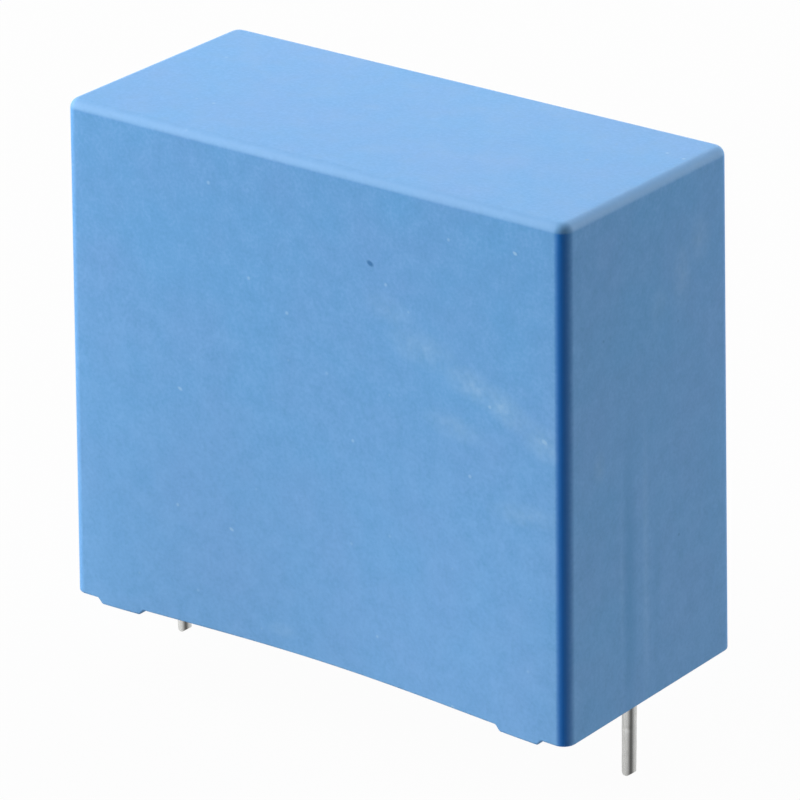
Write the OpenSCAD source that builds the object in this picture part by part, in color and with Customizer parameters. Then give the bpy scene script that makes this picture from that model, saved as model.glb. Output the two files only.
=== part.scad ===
// Box film capacitor for a printed circuit board.
// A moulded case, open underneath, holds a flattened film winding whose metal-sprayed ends are
// welded to two wire leads. Cast resin fills the case and seals it.
// Millimetres. +Z is up, the board's surface is the plane Z = 0, and the leads lie along X.

/* [Leads] */
// Distance between the two leads, centre to centre
lead_pitch = 37.5; // [27.5:1:52.5]
// Diameter of the lead wire
lead_d = 1.0; // [0.6:0.1:1.2]
// Length of the leads below the board's surface
lead_length = 5.6; // [3:0.1:25]

/* [Case] */
// From a lead's centre line to the end of the case
end_margin = 1.75; // [1.75:0.25:3]
// Width of the case at its open side
case_width = 18.8; // [13:0.1:22]
// Height of the case above the board, feet included
case_height = 35.7; // [26:0.1:50]
// Wall thickness
wall = 0.8; // [0.6:0.1:1]
// Thickness of the closed top
top_wall = 1.2; // [0.8:0.1:2]
// Moulding draft of every wall, in degrees
draft = 0.7; // [0.3:0.1:1.2]
// Radius of the four upright edges
corner_r = 0.9; // [0.6:0.1:1.6]
// Radius round the closed top
top_r = 0.65; // [0.4:0.05:1.2]
// How far the resin's shrinkage draws in the middle of each long wall, at the open side
bow = 1.0; // [0:0.1:1.4]

/* [Feet] */
// Height of the feet that hold the rim off the board
foot_height = 0.4; // [0.3:0.05:1]
// Length of a foot's sole
foot_length = 3.1; // [2:0.1:5]
// From the end of the case to the sole
foot_start = 2.4; // [1.5:0.1:4]

/* [Filling] */
// Depth of the resin's surface inside the rim
resin_recess = 0.9; // [0.6:0.1:1.5]
// How far the resin creeps down the walls and the leads
meniscus = 0.5; // [0.2:0.05:0.6]
// Thickness of the metal sprayed on each end of the winding
spray_thick = 0.7; // [0.4:0.1:1]

/* [Hidden] */
$fn = 64;

case_length = lead_pitch + 2 * end_margin;

// The cavity, and how finely the bowed form is stepped
cavity_top = case_height - top_wall;
cavity_corner_r = 0.4;
cavity_top_r = 0.3;
side_steps = 16;
height_steps = 8;
arc_step = 15;

// The slope at each end of a foot, and the chamfer round its sole
flank = 0.35;
sole_chamfer = 0.12;
sole_end = case_length / 2 - foot_start;
sole_begin = sole_end - foot_length;

// The resin's surface: flat in the middle, lower where it creeps down a wall
resin_level = foot_height + resin_recess;
resin_at_wall = resin_level - meniscus;
meniscus_reach = 0.9;
meniscus_steps = 6;
collar_lip = 0.08;

// The winding hangs in the case with resin all round it
winding_gap = 0.85;
winding_bottom = resin_level + 1.9;
winding_height = cavity_top - 0.9 - winding_bottom;
winding_thick = case_width - 2 * (wall + taper(case_height) + winding_gap);

// The leads are round up to the rim, and flattened where they are welded to the sprayed ends
lead_r = lead_d / 2;
spray_face = lead_pitch / 2 - lead_r;
film_width = 2 * (spray_face - spray_thick);
flat_thick = 0.6 * lead_d;
flat_width = 1.3 * lead_d;
flat_begin = winding_bottom + 0.8;
flat_end = winding_bottom + 0.55 * winding_height;
tip_flat = 0.15;
tip_slope = 35;

overlap = 0.05;

// How far a wall leans in at height z
function taper(z) = z * tan(draft);

// How far the middle of a long wall is drawn in at height z
function bow_at(z) = bow * pow(1 - z / case_height, 1.5);

// A quarter circle round the corner at [x, y], from the given angle
function corner_arc(x, y, r, from) =
    [for (a = [from:arc_step:from + 90]) [x + r * cos(a), y + r * sin(a)]];

// Half of a rounded rectangle of half sizes hl and hw, from the +X side round to the -X side
function half_outline(hl, hw, r) = [
    each corner_arc(hl - r, hw - r, r, 0),
    for (i = [1:side_steps - 1]) [(hl - r) * (1 - 2 * i / side_steps), hw],
    each corner_arc(r - hl, hw - r, r, 90)
];

// One level of the case's form, moved in by inset: its long sides bow in, its short ones don't
function ring(z, inset, r) =
    let (
        hl = case_length / 2 - taper(z) - inset,
        hw = case_width / 2 - taper(z) - inset,
        half = half_outline(hl, hw, r)
    )
    [for (p = concat(half, -half))
        [p.x, p.y - sign(p.y) * bow_at(z) * pow(1 - pow(p.x / hl, 2), 2), z]];

// Rings that round off the top at height z with an edge radius of edge_r
function rounded_top(z, inset, edge_r, r) =
    [for (a = [arc_step:arc_step:90])
        ring(z - edge_r * (1 - sin(a)), inset + edge_r * (1 - cos(a)),
             max(r - edge_r * (1 - cos(a)), 0.1))];

// Rings up the inside of the walls, from the resin's edge to the top
function cavity_rings() =
    let (top = cavity_top - cavity_top_r)
    [
        for (i = [0:height_steps])
            ring(resin_at_wall + (top - resin_at_wall) * i / height_steps, wall, cavity_corner_r),
        each rounded_top(cavity_top, wall, cavity_top_r, cavity_corner_r)
    ];

// Skins a stack of rings that all have the same number of points
module loft(rings) {
    n = len(rings[0]);
    last = (len(rings) - 1) * n;
    polyhedron(
        points = [for (level = rings) each level],
        faces = [
            [for (i = [0:n - 1]) i],
            for (k = [0:n:last - n], i = [0:n - 1])
                let (a = k + i, b = k + (i + 1) % n)
                each [[a, a + n, b + n], [a, b + n, b]],
            [for (i = [n - 1:-1:0]) last + i]
        ]
    );
}

// A flattened circle, thick across X and long across Y
module flattened(thick, long) {
    square([thick, long - thick], center = true);
    for (side = [-1, 1])
        translate([0, side * (long - thick) / 2]) circle(d = thick);
}

// The space under the rim, with a foot standing into it near each end of each long wall
module under_rim() {
    below = -1;
    beyond = case_length;
    half = [
        [beyond, below], [beyond, foot_height],
        [sole_end + flank, foot_height], [sole_end, 0],
        [sole_begin, 0], [sole_begin - flank, foot_height]
    ];
    rotate([90, 0, 0])
        linear_extrude(height = case_width + 2, center = true)
            polygon([each half, for (i = [len(half) - 1:-1:0]) [-half[i].x, half[i].y]]);
}

module case() {
    wall_top = case_height - top_r;
    color([0.43, 0.64, 0.84])
        difference() {
            loft([
                ring(-sole_chamfer, 2 * sole_chamfer, corner_r),
                ring(sole_chamfer, 0, corner_r),
                for (i = [1:height_steps]) ring(wall_top * i / height_steps, 0, corner_r),
                each rounded_top(case_height, 0, top_r, corner_r)
            ]);
            loft([ring(-foot_height, wall, cavity_corner_r), each cavity_rings()]);
            under_rim();
        }
}

// The resin that creeps down a lead, hollowed like a fillet that ends in a thin lip
module resin_collar() {
    reach = lead_r + collar_lip + meniscus;
    translate([0, 0, resin_at_wall])
        rotate_extrude()
            difference() {
                square([reach, meniscus + overlap]);
                translate([reach, 0]) circle(r = meniscus);
            }
}

module potting_resin() {
    color([0.16, 0.17, 0.19])
        difference() {
            union() {
                loft([
                    for (i = [meniscus_steps:-1:1])
                        let (t = i / meniscus_steps)
                        ring(resin_at_wall + meniscus * (1 - pow(1 - t, 2)),
                             wall + meniscus_reach * t, cavity_corner_r),
                    each cavity_rings()
                ]);
                for (side = [-1, 1])
                    translate([side * lead_pitch / 2, 0, 0]) resin_collar();
            }
            winding_section(2 * spray_face);
            for (side = [-1, 1]) lead(side);
        }
}

// The flattened roll's section, drawn out along X and centred on it
module winding_section(length) {
    translate([0, 0, winding_bottom + winding_height / 2])
        rotate([90, 0, 90])
            linear_extrude(height = length, center = true)
                flattened(winding_thick, winding_height);
}

module film_winding() {
    color([0.78, 0.80, 0.82]) winding_section(film_width);
}

module metal_spray(side) {
    color([0.62, 0.62, 0.60])
        translate([side * (spray_face - spray_thick / 2), 0, 0]) winding_section(spray_thick);
}

// The flat part of a lead, from z up over the given height, its back against the sprayed metal
module lead_flat(z, height) {
    translate([(flat_thick - lead_d) / 2, 0, z])
        linear_extrude(height = height) flattened(flat_thick, flat_width);
}

// The round part of a lead, cropped to a blunt chisel at its tip
module lead_wire(height) {
    flare = lead_d;
    intersection() {
        translate([0, 0, -lead_length]) cylinder(r = lead_r, h = height + lead_length);
        rotate([90, 0, 0])
            linear_extrude(height = 2 * lead_d, center = true)
                polygon([
                    [-tip_flat, -lead_length], [tip_flat, -lead_length],
                    [tip_flat + flare, flare * tan(tip_slope) - lead_length],
                    [tip_flat + flare, height + lead_d], [-tip_flat - flare, height + lead_d],
                    [-tip_flat - flare, flare * tan(tip_slope) - lead_length]
                ]);
    }
}

module lead(side) {
    color([0.80, 0.80, 0.79])
        translate([side * lead_pitch / 2, 0, 0])
            mirror([side < 0 ? 1 : 0, 0, 0]) {
                lead_wire(foot_height);
                hull() {
                    translate([0, 0, foot_height - overlap])
                        cylinder(r = lead_r, h = overlap, $fn = 32);
                    lead_flat(flat_begin, overlap, $fn = 32);
                }
                lead_flat(flat_begin, flat_end - flat_begin);
            }
}

case();
potting_resin();
film_winding();
metal_spray(-1);  // metal_spray_left
metal_spray(1);  // metal_spray_right
lead(-1);  // lead_left
lead(1);  // lead_right
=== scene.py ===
import bpy
import bmesh
import math
from mathutils import Matrix, Vector


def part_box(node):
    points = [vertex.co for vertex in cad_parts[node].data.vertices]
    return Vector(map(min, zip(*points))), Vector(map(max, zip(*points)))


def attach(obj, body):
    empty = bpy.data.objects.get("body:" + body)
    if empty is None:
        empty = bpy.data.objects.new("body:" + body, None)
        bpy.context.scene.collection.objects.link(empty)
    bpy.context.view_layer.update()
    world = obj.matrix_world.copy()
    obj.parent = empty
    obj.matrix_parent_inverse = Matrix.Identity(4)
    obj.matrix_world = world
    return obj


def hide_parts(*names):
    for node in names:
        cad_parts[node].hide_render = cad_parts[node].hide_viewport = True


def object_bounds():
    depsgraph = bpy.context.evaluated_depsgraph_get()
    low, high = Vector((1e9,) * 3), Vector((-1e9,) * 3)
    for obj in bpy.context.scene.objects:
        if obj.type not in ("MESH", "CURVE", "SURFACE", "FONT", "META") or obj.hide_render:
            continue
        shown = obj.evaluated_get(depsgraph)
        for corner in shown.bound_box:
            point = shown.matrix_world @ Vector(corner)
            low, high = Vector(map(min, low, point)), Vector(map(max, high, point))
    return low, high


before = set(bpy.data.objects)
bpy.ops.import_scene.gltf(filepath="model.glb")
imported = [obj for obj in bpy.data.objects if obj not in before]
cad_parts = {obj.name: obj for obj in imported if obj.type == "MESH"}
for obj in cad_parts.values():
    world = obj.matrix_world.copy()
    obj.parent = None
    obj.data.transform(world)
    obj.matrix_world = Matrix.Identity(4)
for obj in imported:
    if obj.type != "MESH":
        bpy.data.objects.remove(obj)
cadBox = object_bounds()
print("frame loaded:", ", ".join(sorted(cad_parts)))

mm = 0.001  # pieces are worked in millimetres and made metres at the end


def sizeOf(node):
    low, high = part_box(node)
    return low / mm, high / mm


def roundTo(value, low, high):
    t = min(1.0, max(0.0, (value - low) / (high - low)))
    return t * t * (3 - 2 * t)


# shades the mesh, makes it metres and hands it over as a piece of the frame
def finishPiece(bm, name, sharpAngle, node, material, edgeRound=0):
    for face in bm.faces:
        face.smooth = True
    for edge in bm.edges:
        edge.smooth = len(edge.link_faces) == 2 and edge.calc_face_angle(0) < math.radians(sharpAngle)
    bmesh.ops.scale(bm, vec=(mm, mm, mm), verts=bm.verts)
    mesh = bpy.data.meshes.new(name)
    bm.to_mesh(mesh)
    bm.free()
    mesh.materials.append(material)
    piece = bpy.data.objects.new(name, mesh)
    bpy.context.scene.collection.objects.link(piece)
    if edgeRound:
        softened = piece.modifiers.new("softEdges", "BEVEL")
        softened.width = edgeRound * mm
        softened.segments = 3
        softened.limit_method = "ANGLE"
        softened.angle_limit = math.radians(sharpAngle)
    weighted = piece.modifiers.new("evenShading", "WEIGHTED_NORMAL")
    weighted.keep_sharp = True
    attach(piece, "root")
    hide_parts(node)
    print(name, "made with", len(mesh.polygons), "faces")
    return piece


viewpoint = {
    "azimuth": 37.565,
    "elevation": 22.96,
    "roll": -0.77,
    "distance": 360.1,      # mm, from the middle of the rim's plane
    "aside": 0.233,         # mm, the camera's own shift across the view
    "raise": 14.57,         # mm, the camera's own shift up the view
    "rimHeight": 0.4,       # mm
    "lens": 242.5,          # mm, on a 36 mm sensor
}


def makeCamera(v):
    azimuth = math.radians(v["azimuth"])
    elevation = math.radians(v["elevation"])
    back = Vector((math.sin(azimuth) * math.cos(elevation),
                   -math.cos(azimuth) * math.cos(elevation),
                   math.sin(elevation)))
    right = Vector((math.cos(azimuth), math.sin(azimuth), 0))
    up = back.cross(right)
    place = back * v["distance"] + right * v["aside"] + up * v["raise"] + Vector((0, 0, v["rimHeight"]))
    turn = Matrix((right, up, back)).transposed() @ Matrix.Rotation(math.radians(v["roll"]), 3, "Z")
    data = bpy.data.cameras.new("viewCamera")
    data.lens = v["lens"]
    data.sensor_width = 36
    data.clip_start = 0.01
    data.clip_end = 20
    camera = bpy.data.objects.new("viewCamera", data)
    camera.matrix_world = Matrix.LocRotScale(place * mm, turn, None)
    bpy.context.scene.collection.objects.link(camera)
    bpy.context.scene.camera = camera
    print("camera placed")


def newMaterial(name):
    material = bpy.data.materials.new(name)
    material.use_nodes = True
    nodes, links = material.node_tree.nodes, material.node_tree.links
    coords = nodes.new("ShaderNodeTexCoord")
    return material, nodes, links, coords.outputs["Object"]


def addNoise(nodes, links, vector, scale, detail=2.0, rough=0.5):
    noise = nodes.new("ShaderNodeTexNoise")
    noise.inputs["Scale"].default_value = scale
    noise.inputs["Detail"].default_value = detail
    noise.inputs["Roughness"].default_value = rough
    links.new(vector, noise.inputs["Vector"])
    return noise.outputs["Fac"]


# maps one span of values to another, held at its ends
def remap(nodes, links, value, fromLow, fromHigh, toLow=0.0, toHigh=1.0):
    span = nodes.new("ShaderNodeMapRange")
    span.inputs["From Min"].default_value = fromLow
    span.inputs["From Max"].default_value = fromHigh
    span.inputs["To Min"].default_value = toLow
    span.inputs["To Max"].default_value = toHigh
    links.new(value, span.inputs["Value"])
    return span.outputs["Result"]


def combine(nodes, links, kind, a, b):
    step = nodes.new("ShaderNodeMath")
    step.operation = kind
    for socket, value in zip(step.inputs, (a, b)):
        if isinstance(value, (int, float)):
            socket.default_value = value
        else:
            links.new(value, socket)
    return step.outputs[0]


# raises the surface by a value, at most by the height given in millimetres
def addBump(nodes, links, value, shader, strength, height):
    bump = nodes.new("ShaderNodeBump")
    bump.inputs["Strength"].default_value = strength
    bump.inputs["Distance"].default_value = height * mm
    links.new(value, bump.inputs["Height"])
    links.new(bump.outputs["Normal"], shader.inputs["Normal"])


# lays a colour over another by an amount
def layColour(nodes, links, amount, under, over):
    mix = nodes.new("ShaderNodeMix")
    mix.data_type = "RGBA"
    links.new(amount, mix.inputs["Factor"])
    for socket, colour in ((mix.inputs["A"], under), (mix.inputs["B"], over)):
        if isinstance(colour, tuple):
            socket.default_value = (*colour, 1)
        else:
            links.new(colour, socket)
    return mix.outputs["Result"]


# a soft patch, 1 in its middle and 0 past its reach, all in millimetres
def softPatch(nodes, links, vector, centre, reach, turn=0.0):
    place = nodes.new("ShaderNodeMapping")
    place.vector_type = "TEXTURE"
    place.inputs["Location"].default_value = Vector(centre) * mm
    place.inputs["Rotation"].default_value = (0, math.radians(-turn), 0)
    place.inputs["Scale"].default_value = Vector(reach) * mm
    links.new(vector, place.inputs["Vector"])
    ball = nodes.new("ShaderNodeTexGradient")
    ball.gradient_type = "SPHERICAL"
    links.new(place.outputs["Vector"], ball.inputs["Vector"])
    return ball.outputs["Fac"]


plasticFinish = {
    "face": (0.140, 0.376, 0.725),      # the spark-eroded faces scatter white light
    "faceCool": (0.132, 0.380, 0.733),
    "faceWarm": (0.151, 0.374, 0.725),
    "rimPaintedLight": (0.28, 0.52, 0.86),      # painted light: the walls are painted a little paler towards the rim, standing in for light from below
    "rimLightAmount": 0.30,
    "radius": (0.002, 0.185, 0.690),    # the upright radii are painted deep blue: partly the plastic's own colour on its smooth radii, partly painted shade
    "edgeRubHighlight": (0.30, 0.55, 0.90),      # the radius round the top is painted paler: rubbed wear and a painted highlight
    "rubHighlightAmount": 0.6,
    # painted shade of the dark streaks on the end wall
    "shade": (0.09, 0.31, 0.62),
    # pale colour of the rubbed places, and of the painted highlight streaks on the end wall
    "scuffAndHighlight": (0.36, 0.60, 0.84),
    "nick": (0.05, 0.20, 0.46),
    "fleckPale": (0.26, 0.53, 0.90),    # the grain's light and dark flecks
    "fleckDeep": (0.06, 0.25, 0.52),
    "paleAmount": 0.32,
    "deepAmount": 0.26,
    "grainSize": 0.25,                  # mm
    "driftScale": 170,                  # of the slow change of colour over a wall
    "speckScale": 620,                  # of the scattered specks
    "roughness": 0.55,
    "radiusGloss": 0.22,                # how much less rough the deep blue radii are
    "specular": 0.22,
    # rubbed places: x, z, half length, half height, turn in degrees, strength
    "frontScuffs": [
        (9.0, 25.0, 3.4, 1.5, -8, 0.38), (12.9, 23.5, 2.6, 1.3, -14, 0.58),
        (15.4, 22.6, 2.8, 1.3, -26, 0.62), (18.4, 21.0, 2.0, 1.4, -30, 0.50),
        (11.5, 20.3, 3.0, 1.1, -6, 0.35), (17.0, 15.7, 3.4, 1.0, 6, 0.35),
        (-3.2, 1.9, 1.6, 0.7, 0, 0.30), (6.4, 27.0, 2.6, 1.3, -20, 0.25),
    ],
    # rubbed places on the end wall, the last two long streaks being painted highlight beside the swelling
    # over the lead: y, z, half width, half height, strength
    "endScuffsAndHighlights": [
        (3.6, 28.6, 1.2, 2.6, 0.30), (5.6, 30.4, 1.4, 2.0, 0.28), (-5.6, 18.5, 0.8, 1.4, 0.35),
        (1.0, 27.2, 1.2, 1.6, 0.18), (-0.6, 10.0, 0.5, 12.0, 0.22), (-3.2, 9.0, 0.4, 9.0, 0.14),
    ],
    # painted shade down the end wall beside the swelling over the lead: y, z, half width, half height,
    # strength
    "endPaintedShades": [(-2.4, 9.5, 0.9, 12.5, 0.5), (0.6, 9.0, 0.6, 8.0, 0.2)],
    # pinpricks on the front wall: x, z, radius, strength (negative ones are dark)
    "frontSpecks": [
        (4.96, 29.88, 0.34, -1.0), (-10.95, 17.44, 0.24, 0.6), (-7.08, 8.26, 0.24, 0.6),
        (16.28, 33.13, 0.22, 0.7), (18.6, 21.1, 0.30, 0.6),
    ],
}


def wallColour(nodes, links, where, p):
    drift = addNoise(nodes, links, where, p["driftScale"], 3)
    cool = remap(nodes, links, drift, 0.35, 0.5, 1, 0)
    warm = remap(nodes, links, drift, 0.5, 0.68)
    colour = layColour(nodes, links, cool, p["face"], p["faceCool"])
    colour = layColour(nodes, links, warm, colour, p["faceWarm"])
    place = nodes.new("ShaderNodeSeparateXYZ")
    links.new(where, place.inputs["Vector"])
    top = sizeOf("case")[1].z * mm
    # painted light: the walls grow paler towards the rim at the bottom
    haze = remap(nodes, links, place.outputs["Z"], 0.0, top, p["rimLightAmount"], 0)
    return layColour(nodes, links, haze, colour, p["rimPaintedLight"])


# spark-eroded grain: a fine mottle of paler and deeper blue
def addMottle(nodes, links, grain, coarse, colour, p):
    mottle = combine(nodes, links, "ADD", remap(nodes, links, grain, 0.3, 0.7, -0.5, 0.5),
                     remap(nodes, links, coarse, 0.3, 0.7, -0.35, 0.35))
    pale = remap(nodes, links, mottle, 0.0, 0.85, 0, p["paleAmount"])
    deep = remap(nodes, links, mottle, 0.0, -0.85, 0, p["deepAmount"])
    colour = layColour(nodes, links, pale, colour, p["fleckPale"])
    return layColour(nodes, links, deep, colour, p["fleckDeep"])


# rubbed places and the end wall's painted highlight streaks, broken up by the grain, and the end wall's
# painted shade streaks
def addRubs(nodes, links, where, colour, p):
    low, high = sizeOf("case")
    streak = addNoise(nodes, links, where, 0.4 / (p["grainSize"] * mm), 4, 0.7)
    broken = remap(nodes, links, streak, 0.36, 0.66)
    patches = []
    for x, z, long, tall, turn, strength in p["frontScuffs"]:
        patch = softPatch(nodes, links, where, (x, low.y, z), (long, 3.0, tall), turn)
        patches.append(combine(nodes, links, "MULTIPLY", patch, strength))
    for y, z, wide, tall, strength in p["endScuffsAndHighlights"]:
        patch = softPatch(nodes, links, where, (high.x, y, z), (3.0, wide, tall))
        patches.append(combine(nodes, links, "MULTIPLY", patch, strength))
    rubbed = patches[0]
    for patch in patches[1:]:
        rubbed = combine(nodes, links, "MAXIMUM", rubbed, patch)
    # pale rubs, and the painted highlight streaks on the end wall
    rubbed = combine(nodes, links, "MULTIPLY", rubbed, remap(nodes, links, broken, 0, 1, 0.25, 1.0))
    colour = layColour(nodes, links, rubbed, colour, p["scuffAndHighlight"])
    # painted shade: darker streaks down the end wall
    for y, z, wide, tall, strength in p["endPaintedShades"]:
        patch = softPatch(nodes, links, where, (high.x, y, z), (3.0, wide, tall))
        patch = combine(nodes, links, "MULTIPLY", patch, strength)
        colour = layColour(nodes, links, patch, colour, p["shade"])
    return colour


# scattered specks over every face, and the larger ones where they lie
def addSpecks(nodes, links, where, colour, p):
    low, high = sizeOf("case")
    cells = nodes.new("ShaderNodeTexVoronoi")
    cells.inputs["Scale"].default_value = p["speckScale"]
    links.new(where, cells.inputs["Vector"])
    dot = remap(nodes, links, cells.outputs["Distance"], 0.05, 0.10, 1, 0)
    split = nodes.new("ShaderNodeSeparateColor")
    links.new(cells.outputs["Color"], split.inputs["Color"])
    palePick = remap(nodes, links, split.outputs["Red"], 0.72, 0.80, 0, 0.5)
    darkPick = remap(nodes, links, split.outputs["Green"], 0.80, 0.88, 0, 0.4)
    for pick, kind in ((palePick, "scuffAndHighlight"), (darkPick, "nick")):
        colour = layColour(nodes, links, combine(nodes, links, "MULTIPLY", dot, pick), colour, p[kind])
    for x, z, radius, strength in p["frontSpecks"]:
        patch = softPatch(nodes, links, where, (x, low.y + 0.15, z), (radius, 3.0, radius * 0.6), -25)
        amount = remap(nodes, links, patch, 0.0, 0.5, 0, abs(strength))
        colour = layColour(nodes, links, amount, colour, p["scuffAndHighlight"] if strength > 0 else p["nick"])
    return colour


def plasticMaterial(p):
    material, nodes, links, where = newMaterial("casePlastic")
    shader = nodes["Principled BSDF"]
    fine = 1 / (p["grainSize"] * mm)
    grain = addNoise(nodes, links, where, fine, 3, 0.6)
    coarse = addNoise(nodes, links, where, fine / 5, 2)

    colour = wallColour(nodes, links, where, p)
    colour = addMottle(nodes, links, grain, coarse, colour, p)
    colour = addRubs(nodes, links, where, colour, p)
    colour = addSpecks(nodes, links, where, colour, p)

    # radiusBand is above 0 on the upright edges, painted deep blue with painted shade, and below 0 on the
    # top's edge, painted paler with rubbed wear and a painted highlight
    band = nodes.new("ShaderNodeAttribute")
    band.attribute_name = "radiusBand"
    deepBlueShade = remap(nodes, links, band.outputs["Fac"], 0, 1)
    wornAndLit = remap(nodes, links, band.outputs["Fac"], 0, -1, 0, p["rubHighlightAmount"])
    colour = layColour(nodes, links, wornAndLit, colour, p["edgeRubHighlight"])
    colour = layColour(nodes, links, deepBlueShade, colour, p["radius"])
    links.new(colour, shader.inputs["Base Color"])

    rough = combine(nodes, links, "ADD", p["roughness"], remap(nodes, links, coarse, 0.3, 0.7, -0.04, 0.04))
    smoother = combine(nodes, links, "MULTIPLY", deepBlueShade, p["radiusGloss"])
    links.new(combine(nodes, links, "SUBTRACT", rough, smoother), shader.inputs["Roughness"])
    shader.inputs["Specular IOR Level"].default_value = p["specular"]

    relief = combine(nodes, links, "ADD", grain, combine(nodes, links, "MULTIPLY", coarse, 1.5))
    addBump(nodes, links, relief, shader, 0.3, 0.02)
    return material


caseShape = {
    "wall": 0.8,
    "topWall": 1.2,
    "draft": 0.7,           # degrees
    "cornerRadius": 0.9,
    "topRadius": 0.65,
    "insideRadius": 0.4,
    # how much deep blue, partly painted shade, each upright edge shows, by the signs of its x and y
    "edgeShadeBand": {(1, -1): 1.0, (-1, -1): 0.1, (1, 1): 0.5, (-1, 1): 0.3},
    "bow": 1.0,             # how far the middle of a long wall is drawn in at the rim
    "rimHeight": 0.4,
    "soleLength": 3.1,
    "soleStart": 2.4,       # from the end of the case
    "flank": 0.35,
    "edgeRound": 0.12,      # on the rim and the soles
    "levels": 14,           # steps up the walls
    "stations": 12,         # steps along half of a long wall
    "ridgeAcross": [(-3.2, 0), (-2.7, 0.3), (-2.2, 0.9), (-1.5, 1), (-0.9, 0.9), (-0.5, 0.3), (0.0, 0)],
    "ridgeHeight": 0.05,    # of the faint swelling on the right end wall, over the lead
    "ridgeTop": 21.0,
}


def cutAcross(bm, axis, place):
    point, normal = Vector((0, 0, 0)), Vector((0, 0, 0))
    point[axis] = place
    normal[axis] = 1
    bmesh.ops.bisect_plane(bm, geom=bm.verts[:] + bm.edges[:] + bm.faces[:],
                           dist=0.0001, plane_co=point, plane_no=normal)


# a drafted box with no bottom, its edges rounded, its long walls drawn in at the rim
def openBox(s, halfLength, halfWidth, top, cornerRadius, topRadius, places):
    lean = math.tan(math.radians(s["draft"]))
    rim, fullHeight = s["rimHeight"], sizeOf("case")[1].z
    bm = bmesh.new()
    band = bm.verts.layers.float.new("radiusBand")
    bmesh.ops.create_cube(bm, size=2)
    for v in bm.verts:
        z = top if v.co.z > 0 else rim
        v.co = Vector((v.co.x * (halfLength - z * lean), v.co.y * (halfWidth - z * lean), z))
    bmesh.ops.delete(bm, geom=[f for f in bm.faces if f.normal.z < -0.5], context="FACES_ONLY")
    upright = [e for e in bm.edges if abs(e.verts[0].co.z - e.verts[1].co.z) > 1]
    bmesh.ops.bevel(bm, geom=upright, offset=cornerRadius, offset_type="OFFSET", segments=8,
                    profile=0.5, affect="EDGES", material=-1)
    topEdges = [e for e in bm.edges if all(abs(v.co.z - top) < 0.01 for v in e.verts)]
    bmesh.ops.bevel(bm, geom=topEdges, offset=topRadius, offset_type="OFFSET", segments=6,
                    profile=0.5, affect="EDGES", material=-1)
    for place in places:
        cutAcross(bm, 0, place)
    for y, _ in s["ridgeAcross"]:
        cutAcross(bm, 1, y)
    wallTop = top - topRadius
    for i in range(1, s["levels"]):
        cutAcross(bm, 2, rim + (wallTop - rim) * i / s["levels"])
    for v in bm.verts:
        hl, hw = halfLength - v.co.z * lean, halfWidth - v.co.z * lean
        outX, outY = abs(v.co.x) - (hl - cornerRadius), abs(v.co.y) - (hw - cornerRadius)
        # painted shade: the upright radii get their deep blue band here
        if outX > 0 and outY > 0:
            edge = (int(math.copysign(1, v.co.x)), int(math.copysign(1, v.co.y)))
            turn = math.atan2(outY, outX) / (math.pi / 2)
            v[band] = s["edgeShadeBand"][edge] * max(0.0, math.sin(math.pi * turn ** 1.5)) ** 1.2
        # painted highlight with rubbed wear: the top's radius goes below 0, palest halfway round
        if v.co.z > wallTop + 0.01:
            bent = math.asin(min(1.0, (v.co.z - wallTop) / topRadius))
            v[band] = min(v[band], 0.5) * math.cos(bent) - max(0.0, math.sin(2 * bent)) ** 0.4
        drawn = s["bow"] * (1 - v.co.z / fullHeight) ** 1.5
        along = v.co.x / hl
        v.co.y -= math.copysign(drawn * max(0.0, 1 - along * along) ** 2, v.co.y)
    return bm


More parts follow.
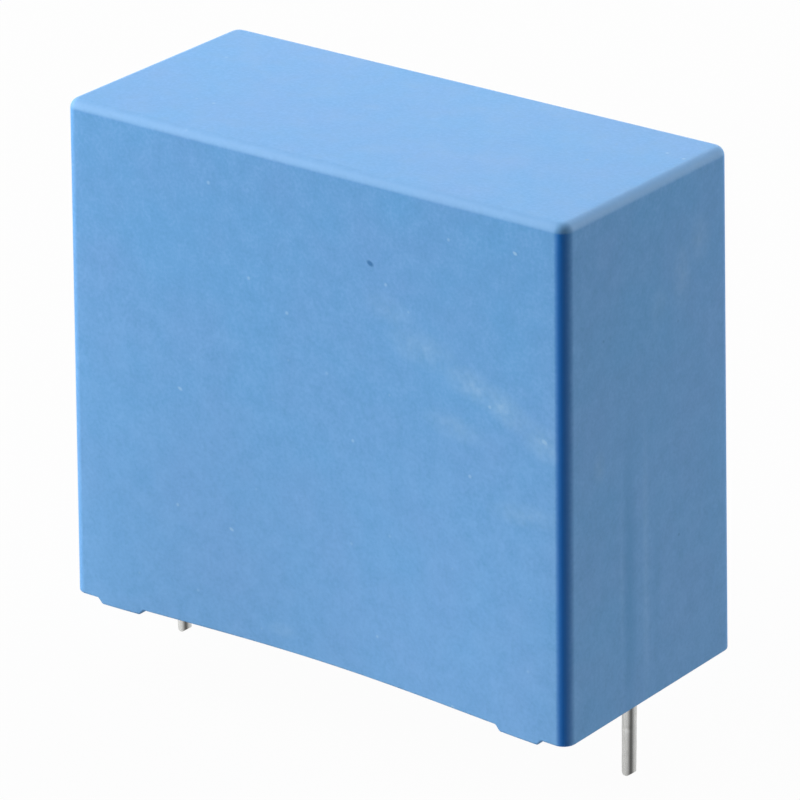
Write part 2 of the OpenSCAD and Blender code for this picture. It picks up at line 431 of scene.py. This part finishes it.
def makeCase(s, material):
    low, high = sizeOf("case")
    lean = math.tan(math.radians(s["draft"]))
    halfLength = high.x + s["rimHeight"] * lean
    halfWidth = high.y + s["rimHeight"] * lean
    soleEnd = halfLength - s["soleStart"]
    soleBegin = soleEnd - s["soleLength"]
    footSpan = (soleBegin - s["flank"], soleEnd + s["flank"])
    plain = footSpan[0] - 0.6
    half = [plain * i / s["stations"] for i in range(1, s["stations"] + 1)]
    half += [footSpan[0], soleBegin, (soleBegin + soleEnd) / 2, soleEnd, footSpan[1]]
    places = [0] + half + [-x for x in half]

    bm = openBox(s, halfLength, halfWidth, high.z, s["cornerRadius"], s["topRadius"], places)
    swell = dict(s["ridgeAcross"])
    for v in bm.verts:
        if v.co.x > halfLength - 1 and v.co.x > 0:
            lift = swell.get(round(v.co.y, 2), 0) * s["ridgeHeight"]
            lift *= 1 - roundTo(v.co.z, s["ridgeTop"] - 6, s["ridgeTop"])
            v.co.x += min(lift, (v.co.z - s["rimHeight"]) * lean)
    inner = openBox(s, halfLength - s["wall"], halfWidth - s["wall"], high.z - s["topWall"],
                    s["insideRadius"], s["insideRadius"] * 0.75, places)
    for v in inner.verts:
        v[inner.verts.layers.float["radiusBand"]] = 0
    bmesh.ops.reverse_faces(inner, faces=inner.faces)
    lining = bpy.data.meshes.new("caseLining")
    inner.to_mesh(lining)
    inner.free()
    bm.from_mesh(lining)
    bpy.data.meshes.remove(lining)
    openEdges = [e for e in bm.edges if len(e.link_faces) == 1]
    bmesh.ops.bridge_loops(bm, edges=openEdges)

    # feet stand on the rim near each end of each long wall
    footing = [f for f in bm.faces
               if all(abs(v.co.z - s["rimHeight"]) < 0.01 for v in f.verts)
               and footSpan[0] < abs(f.calc_center_median().x) < footSpan[1]
               and abs(f.calc_center_median().y) > halfWidth / 2]
    grown = bmesh.ops.extrude_face_region(bm, geom=footing)
    for v in (g for g in grown["geom"] if isinstance(g, bmesh.types.BMVert)):
        if soleBegin - 0.01 < abs(v.co.x) < soleEnd + 0.01:
            v.co.z = 0
    bmesh.ops.delete(bm, geom=[f for f in footing if f.is_valid], context="FACES_ONLY")
    bmesh.ops.remove_doubles(bm, verts=bm.verts, dist=0.001)
    bmesh.ops.dissolve_degenerate(bm, edges=bm.edges, dist=0.001)
    bmesh.ops.recalc_face_normals(bm, faces=bm.faces)
    return finishPiece(bm, "mouldedCase", 40, "case", material, s["edgeRound"])


resinFinish = {
    "pale": (0.030, 0.034, 0.042),
    "dark": (0.014, 0.016, 0.021),
    "filler": (0.10, 0.105, 0.115),     # grains of mineral filler that show at the surface
}


def resinMaterial(p):
    material, nodes, links, where = newMaterial("castResin")
    shader = nodes["Principled BSDF"]
    cloud = addNoise(nodes, links, where, 260, 4, 0.55)
    colour = layColour(nodes, links, remap(nodes, links, cloud, 0.35, 0.65), p["dark"], p["pale"])
    grains = nodes.new("ShaderNodeTexVoronoi")
    grains.inputs["Scale"].default_value = 3000
    links.new(where, grains.inputs["Vector"])
    dots = remap(nodes, links, grains.outputs["Distance"], 0.10, 0.22, 0.55, 0)
    colour = layColour(nodes, links, dots, colour, p["filler"])
    links.new(colour, shader.inputs["Base Color"])
    links.new(remap(nodes, links, cloud, 0.3, 0.7, 0.26, 0.42), shader.inputs["Roughness"])
    ripple = addNoise(nodes, links, where, 120, 2)
    fine = addNoise(nodes, links, where, 2600, 2)
    relief = combine(nodes, links, "ADD", ripple, combine(nodes, links, "MULTIPLY", fine, 0.06))
    addBump(nodes, links, relief, shader, 0.5, 0.15)
    return material


# the resin keeps the frame's own form, merged so that its creep up the walls shades smoothly
def makeResin(material):
    bm = bmesh.new()
    bm.from_mesh(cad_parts["potting_resin"].data)
    bmesh.ops.scale(bm, vec=(1 / mm, 1 / mm, 1 / mm), verts=bm.verts)
    bmesh.ops.remove_doubles(bm, verts=bm.verts, dist=0.0005)
    return finishPiece(bm, "castResinFill", 28, "potting_resin", material)


wireFinish = {
    "tin": (0.90, 0.90, 0.88),
    "dull": (0.68, 0.68, 0.65),
    "paintedReflection": (0.13, 0.13, 0.125),       # painted reflection: a dark stripe down one side of the wire, standing in for the floor's shade seen in the tin
    "roughness": 0.28,
}


def wireMaterial(p):
    material, nodes, links, where = newMaterial("tinnedWire")
    shader = nodes["Principled BSDF"]
    place = nodes.new("ShaderNodeMapping")
    place.inputs["Scale"].default_value = (1, 1, 0.18)      # drawn out along the wire
    links.new(where, place.inputs["Vector"])
    drawn = addNoise(nodes, links, place.outputs["Vector"], 9000, 3)
    cloud = addNoise(nodes, links, where, 1100, 3)
    dull = combine(nodes, links, "MULTIPLY", remap(nodes, links, drawn, 0.4, 0.7),
                   remap(nodes, links, cloud, 0.35, 0.65, 0.2, 1.0))
    colour = layColour(nodes, links, dull, p["tin"], p["dull"])
    # painted reflection: the dark stripe laid over the tin
    stripe = nodes.new("ShaderNodeAttribute")
    stripe.attribute_name = "reflectionStripe"
    colour = layColour(nodes, links, stripe.outputs["Fac"], colour, p["paintedReflection"])
    links.new(colour, shader.inputs["Base Color"])
    shader.inputs["Metallic"].default_value = 1
    links.new(remap(nodes, links, dull, 0, 1, p["roughness"] - 0.04, p["roughness"] + 0.12),
              shader.inputs["Roughness"])
    addBump(nodes, links, combine(nodes, links, "ADD", drawn, cloud), shader, 0.25, 0.01)
    return material


wireShape = {
    "radius": 0.5,
    "pitch": 37.5,
    "roundEnd": 0.4,        # where the flattening starts
    "flatStart": 4.0,
    "flatThick": 0.6,
    "flatWide": 1.3,
    "tipFlat": 0.15,
    "tipSlope": 35,         # degrees, of the cropped tip
    "thinning": 0.03,       # how much slimmer the drawn wire is at its tip
    "ripple": 0.008,        # mm, unevenness of the tin
    "segments": 48,
    "step": 0.1,            # mm between rings
    "slopeRings": 10,       # rings along the stretch that grows flat
    "stripeDirection": -41, # degrees round the wire
    "stripeWidth": 24,
}
# a cutter's mark on the right lead: height, direction round the wire, depth and half length
wireNick = {"z": -2.2, "direction": -62, "depth": 0.05, "reach": 0.14}


# a straight wire of rings from its tip to its top, closed at both ends
def drawWire(s, low, high):
    bm = bmesh.new()
    bm.verts.layers.float.new("reflectionStripe")
    ring = bmesh.ops.create_circle(bm, cap_ends=True, cap_tris=False, segments=s["segments"],
                                   radius=s["radius"],
                                   matrix=Matrix.Translation((0, 0, low.z - 0.02)))["verts"]
    edges = [e for e in bm.edges if len(e.link_faces) < 2]
    levels = []
    z = low.z + 0.05
    while z < s["roundEnd"] - 0.02:
        levels.append(z)
        z += s["step"]
    rise = (s["flatStart"] - s["roundEnd"]) / s["slopeRings"]
    levels += [s["roundEnd"] + rise * i for i in range(s["slopeRings"] + 1)]
    levels += [s["flatStart"] + 0.5, (s["flatStart"] + high.z) / 2, high.z]
    for level in levels:
        step = level - ring[0].co.z
        grown = bmesh.ops.extrude_edge_only(bm, edges=edges)["geom"]
        ring = [g for g in grown if isinstance(g, bmesh.types.BMVert)]
        edges = [g for g in grown if isinstance(g, bmesh.types.BMEdge)]
        edges = [e for e in edges if len(e.link_faces) < 2]
        bmesh.ops.translate(bm, vec=(0, 0, step), verts=ring)
    bmesh.ops.contextual_create(bm, geom=edges)
    return bm


# the wire's uneven tin, its painted dark reflection stripe, its nick and the flattening of its upper end
def shapeWire(bm, s, side, nick):
    stripe = bm.verts.layers.float["reflectionStripe"]
    flatR = s["flatThick"] / 2
    straight = (s["flatWide"] - s["flatThick"]) / 2
    for v in bm.verts:
        turn = math.atan2(v.co.y, v.co.x)
        z = v.co.z
        flatness = min(1.0, max(0.0, (z - s["roundEnd"]) / (s["flatStart"] - s["roundEnd"])))
        slim = 1 - s["thinning"] * min(1.0, max(0.0, (s["roundEnd"] - z) / 6))
        waves = math.sin(3 * turn + 2.1 * z + side) * 0.5 + math.sin(5.3 * z + 2 * turn) * 0.5
        radius = s["radius"] * slim + s["ripple"] * (waves - 1) * (1 - flatness)
        # painted reflection: the dark stripe round the wire
        aside = math.degrees(math.remainder(turn - math.radians(s["stripeDirection"]), 2 * math.pi))
        v[stripe] = math.exp(-(aside / s["stripeWidth"]) ** 2)
        if nick:
            away = abs(math.remainder(turn - math.radians(nick["direction"]), 2 * math.pi))
            bite = math.exp(-(away / 0.55) ** 2 - ((z - nick["z"]) / nick["reach"]) ** 2)
            radius -= nick["depth"] * bite
        x, y = radius * math.cos(turn), radius * math.sin(turn)
        if flatness > 0:
            spread = min(1, abs(math.sin(turn)) * 3)
            flatX = flatR * math.cos(turn) - side * (s["radius"] - flatR)
            flatY = flatR * math.sin(turn) + math.copysign(straight, math.sin(turn)) * spread
            x = x * (1 - flatness) + flatX * flatness
            y = y * (1 - flatness) + flatY * flatness
        v.co = Vector((x, y, z))


# crops the tip to a blunt chisel
def cropTip(bm, s, tip):
    tilt = math.radians(s["tipSlope"])
    cuts = [(Vector((way * s["tipFlat"], 0, tip)), Vector((way * math.sin(tilt), 0, -math.cos(tilt))))
            for way in (1, -1)]
    cuts.append((Vector((0, 0, tip)), Vector((0, 0, -1))))
    for place, outward in cuts:
        bmesh.ops.bisect_plane(bm, geom=bm.verts[:] + bm.edges[:] + bm.faces[:], dist=0.0001,
                               plane_co=place, plane_no=outward, clear_outer=True)
        bmesh.ops.holes_fill(bm, edges=[e for e in bm.edges if len(e.link_faces) == 1], sides=0)


def makeLead(s, side, node, nick, material):
    low, high = sizeOf(node)
    bm = drawWire(s, low, high)
    shapeWire(bm, s, side, nick)
    cropTip(bm, s, low.z)
    bmesh.ops.remove_doubles(bm, verts=bm.verts, dist=0.001)
    bmesh.ops.recalc_face_normals(bm, faces=bm.faces)
    bmesh.ops.translate(bm, vec=(side * s["pitch"] / 2, 0, 0), verts=bm.verts)
    name = "tinnedLeadRight" if side > 0 else "tinnedLeadLeft"
    return finishPiece(bm, name, 30, node, material)


# hidden inside the resin: the wound film and its sprayed metal ends
filmFinish = {
    "edge": (0.42, 0.44, 0.47),
    "film": (0.70, 0.72, 0.74),
    "layerScale": 900,
}
sprayFinish = {
    "hollow": (0.20, 0.20, 0.19),
    "grain": (0.42, 0.42, 0.41),
    "gritScale": 5200,
}


def filmMaterial(p):
    material, nodes, links, where = newMaterial("woundFilm")
    shader = nodes["Principled BSDF"]
    layers = nodes.new("ShaderNodeTexWave")
    layers.bands_direction = "Y"
    layers.inputs["Scale"].default_value = p["layerScale"]
    layers.inputs["Distortion"].default_value = 1.2
    links.new(where, layers.inputs["Vector"])
    haze = addNoise(nodes, links, where, 300, 3)
    shade = combine(nodes, links, "MULTIPLY", layers.outputs["Fac"], haze)
    links.new(layColour(nodes, links, shade, p["edge"], p["film"]), shader.inputs["Base Color"])
    shader.inputs["Metallic"].default_value = 0.5
    links.new(remap(nodes, links, haze, 0.3, 0.7, 0.22, 0.4), shader.inputs["Roughness"])
    return material


def sprayMaterial(p):
    material, nodes, links, where = newMaterial("sprayedMetal")
    shader = nodes["Principled BSDF"]
    grit = addNoise(nodes, links, where, p["gritScale"], 4, 0.7)
    amount = remap(nodes, links, grit, 0.3, 0.7)
    links.new(layColour(nodes, links, amount, p["hollow"], p["grain"]), shader.inputs["Base Color"])
    shader.inputs["Metallic"].default_value = 1
    links.new(remap(nodes, links, grit, 0.3, 0.7, 0.8, 0.55), shader.inputs["Roughness"])
    addBump(nodes, links, grit, shader, 0.8, 0.05)
    return material


lights = {
    "leftBox": {"from": (-0.85, -0.50, 0.28), "distance": 0.60, "size": 0.30, "power": 2.2},
    "leftLow": {"from": (-0.70, -0.70, 0.12), "distance": 0.60, "size": 0.30, "power": 1.2},
    "leftHigh": {"from": (-0.56, -0.39, 0.73), "distance": 0.50, "size": 0.30, "power": 1.2},
    "rightBox": {"from": (0.60, 0.78, 0.08), "distance": 0.50, "size": 0.30, "power": 1.4},
    "rightHigh": {"from": (0.39, 0.73, 0.56), "distance": 0.50, "size": 0.30, "power": 0.5},
    "topBox": {"from": (0, 0.10, 1.0), "distance": 0.50, "size": 0.30, "power": 0.3},
    "topBackBox": {"from": (-0.3, 0.6, 0.75), "distance": 0.50, "size": 0.30, "power": 0.5},
    "backBox": {"from": (-0.50, 0.80, 0.35), "distance": 0.60, "size": 0.30, "power": 0.65},
}
room = {
    "aimHeight": 0.018,     # metres, where the lamps point
    "fill": 0.02,           # strength of the room's own light
    "floorColour": (0.45, 0.45, 0.45),
    "floorWhite": 0.97,     # how much of the floor's look is plain white to the camera
    "floorGloss": 0.5,     # the same, in reflections
}


def makeLights(aimHeight):
    target = Vector((0, 0, aimHeight))
    for name, light in lights.items():
        data = bpy.data.lights.new(name, "AREA")
        data.size = light["size"]
        data.energy = light["power"]
        lamp = bpy.data.objects.new(name, data)
        away = Vector(light["from"]).normalized()
        lamp.location = target + away * light["distance"]
        lamp.rotation_mode = "QUATERNION"
        lamp.rotation_quaternion = away.to_track_quat("Z", "Y")
        bpy.context.scene.collection.objects.link(lamp)
    print("lights placed:", len(lights))


# how far a ray meets plain white: by one amount for the camera, by another for reflections
def whiteRays(nodes, links, toCamera, toGloss):
    path = nodes.new("ShaderNodeLightPath")
    clear = combine(nodes, links, "MAXIMUM",
                    path.outputs["Is Camera Ray"], path.outputs["Is Transmission Ray"])
    return combine(nodes, links, "MAXIMUM", combine(nodes, links, "MULTIPLY", clear, toCamera),
                   combine(nodes, links, "MULTIPLY", path.outputs["Is Glossy Ray"], toGloss))


def makeRoom(r):
    world = bpy.data.worlds.new("room")
    world.use_nodes = True
    nodes, links = world.node_tree.nodes, world.node_tree.links
    background = nodes["Background"]
    white = whiteRays(nodes, links, 1.0, 1.0)
    links.new(remap(nodes, links, white, 0, 1, r["fill"], 1.0), background.inputs["Strength"])
    background.inputs["Color"].default_value = (1, 1, 1, 1)
    bpy.context.scene.world = world


def makeFloor(r):
    bpy.ops.mesh.primitive_plane_add(size=3, location=(0, 0, cadBox[0].z))
    floor = bpy.context.object
    floor.name = "floor"
    material, nodes, links, where = newMaterial("whiteFloor")
    plain = nodes["Principled BSDF"]
    plain.inputs["Base Color"].default_value = (*r["floorColour"], 1)
    plain.inputs["Roughness"].default_value = 0.9
    glow = nodes.new("ShaderNodeEmission")
    mix = nodes.new("ShaderNodeMixShader")
    links.new(whiteRays(nodes, links, r["floorWhite"], r["floorGloss"]), mix.inputs["Fac"])
    links.new(plain.outputs["BSDF"], mix.inputs[1])
    links.new(glow.outputs["Emission"], mix.inputs[2])
    links.new(mix.outputs["Shader"], nodes["Material Output"].inputs["Surface"])
    floor.data.materials.append(material)
    print("floor laid")


makeCamera(viewpoint)
makeCase(caseShape, plasticMaterial(plasticFinish))
makeResin(resinMaterial(resinFinish))
tinnedWire = wireMaterial(wireFinish)
makeLead(wireShape, -1, "lead_left", None, tinnedWire)
makeLead(wireShape, 1, "lead_right", wireNick, tinnedWire)

sprayedMetal = sprayMaterial(sprayFinish)
hidden = {
    "film_winding": filmMaterial(filmFinish),
    "metal_spray_left": sprayedMetal,
    "metal_spray_right": sprayedMetal,
}
for node, material in hidden.items():
    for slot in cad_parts[node].material_slots:
        slot.material = material
print("inner parts finished")

makeLights(room["aimHeight"])
makeRoom(room)
makeFloor(room)
bpy.context.scene.view_settings.view_transform = "Standard"
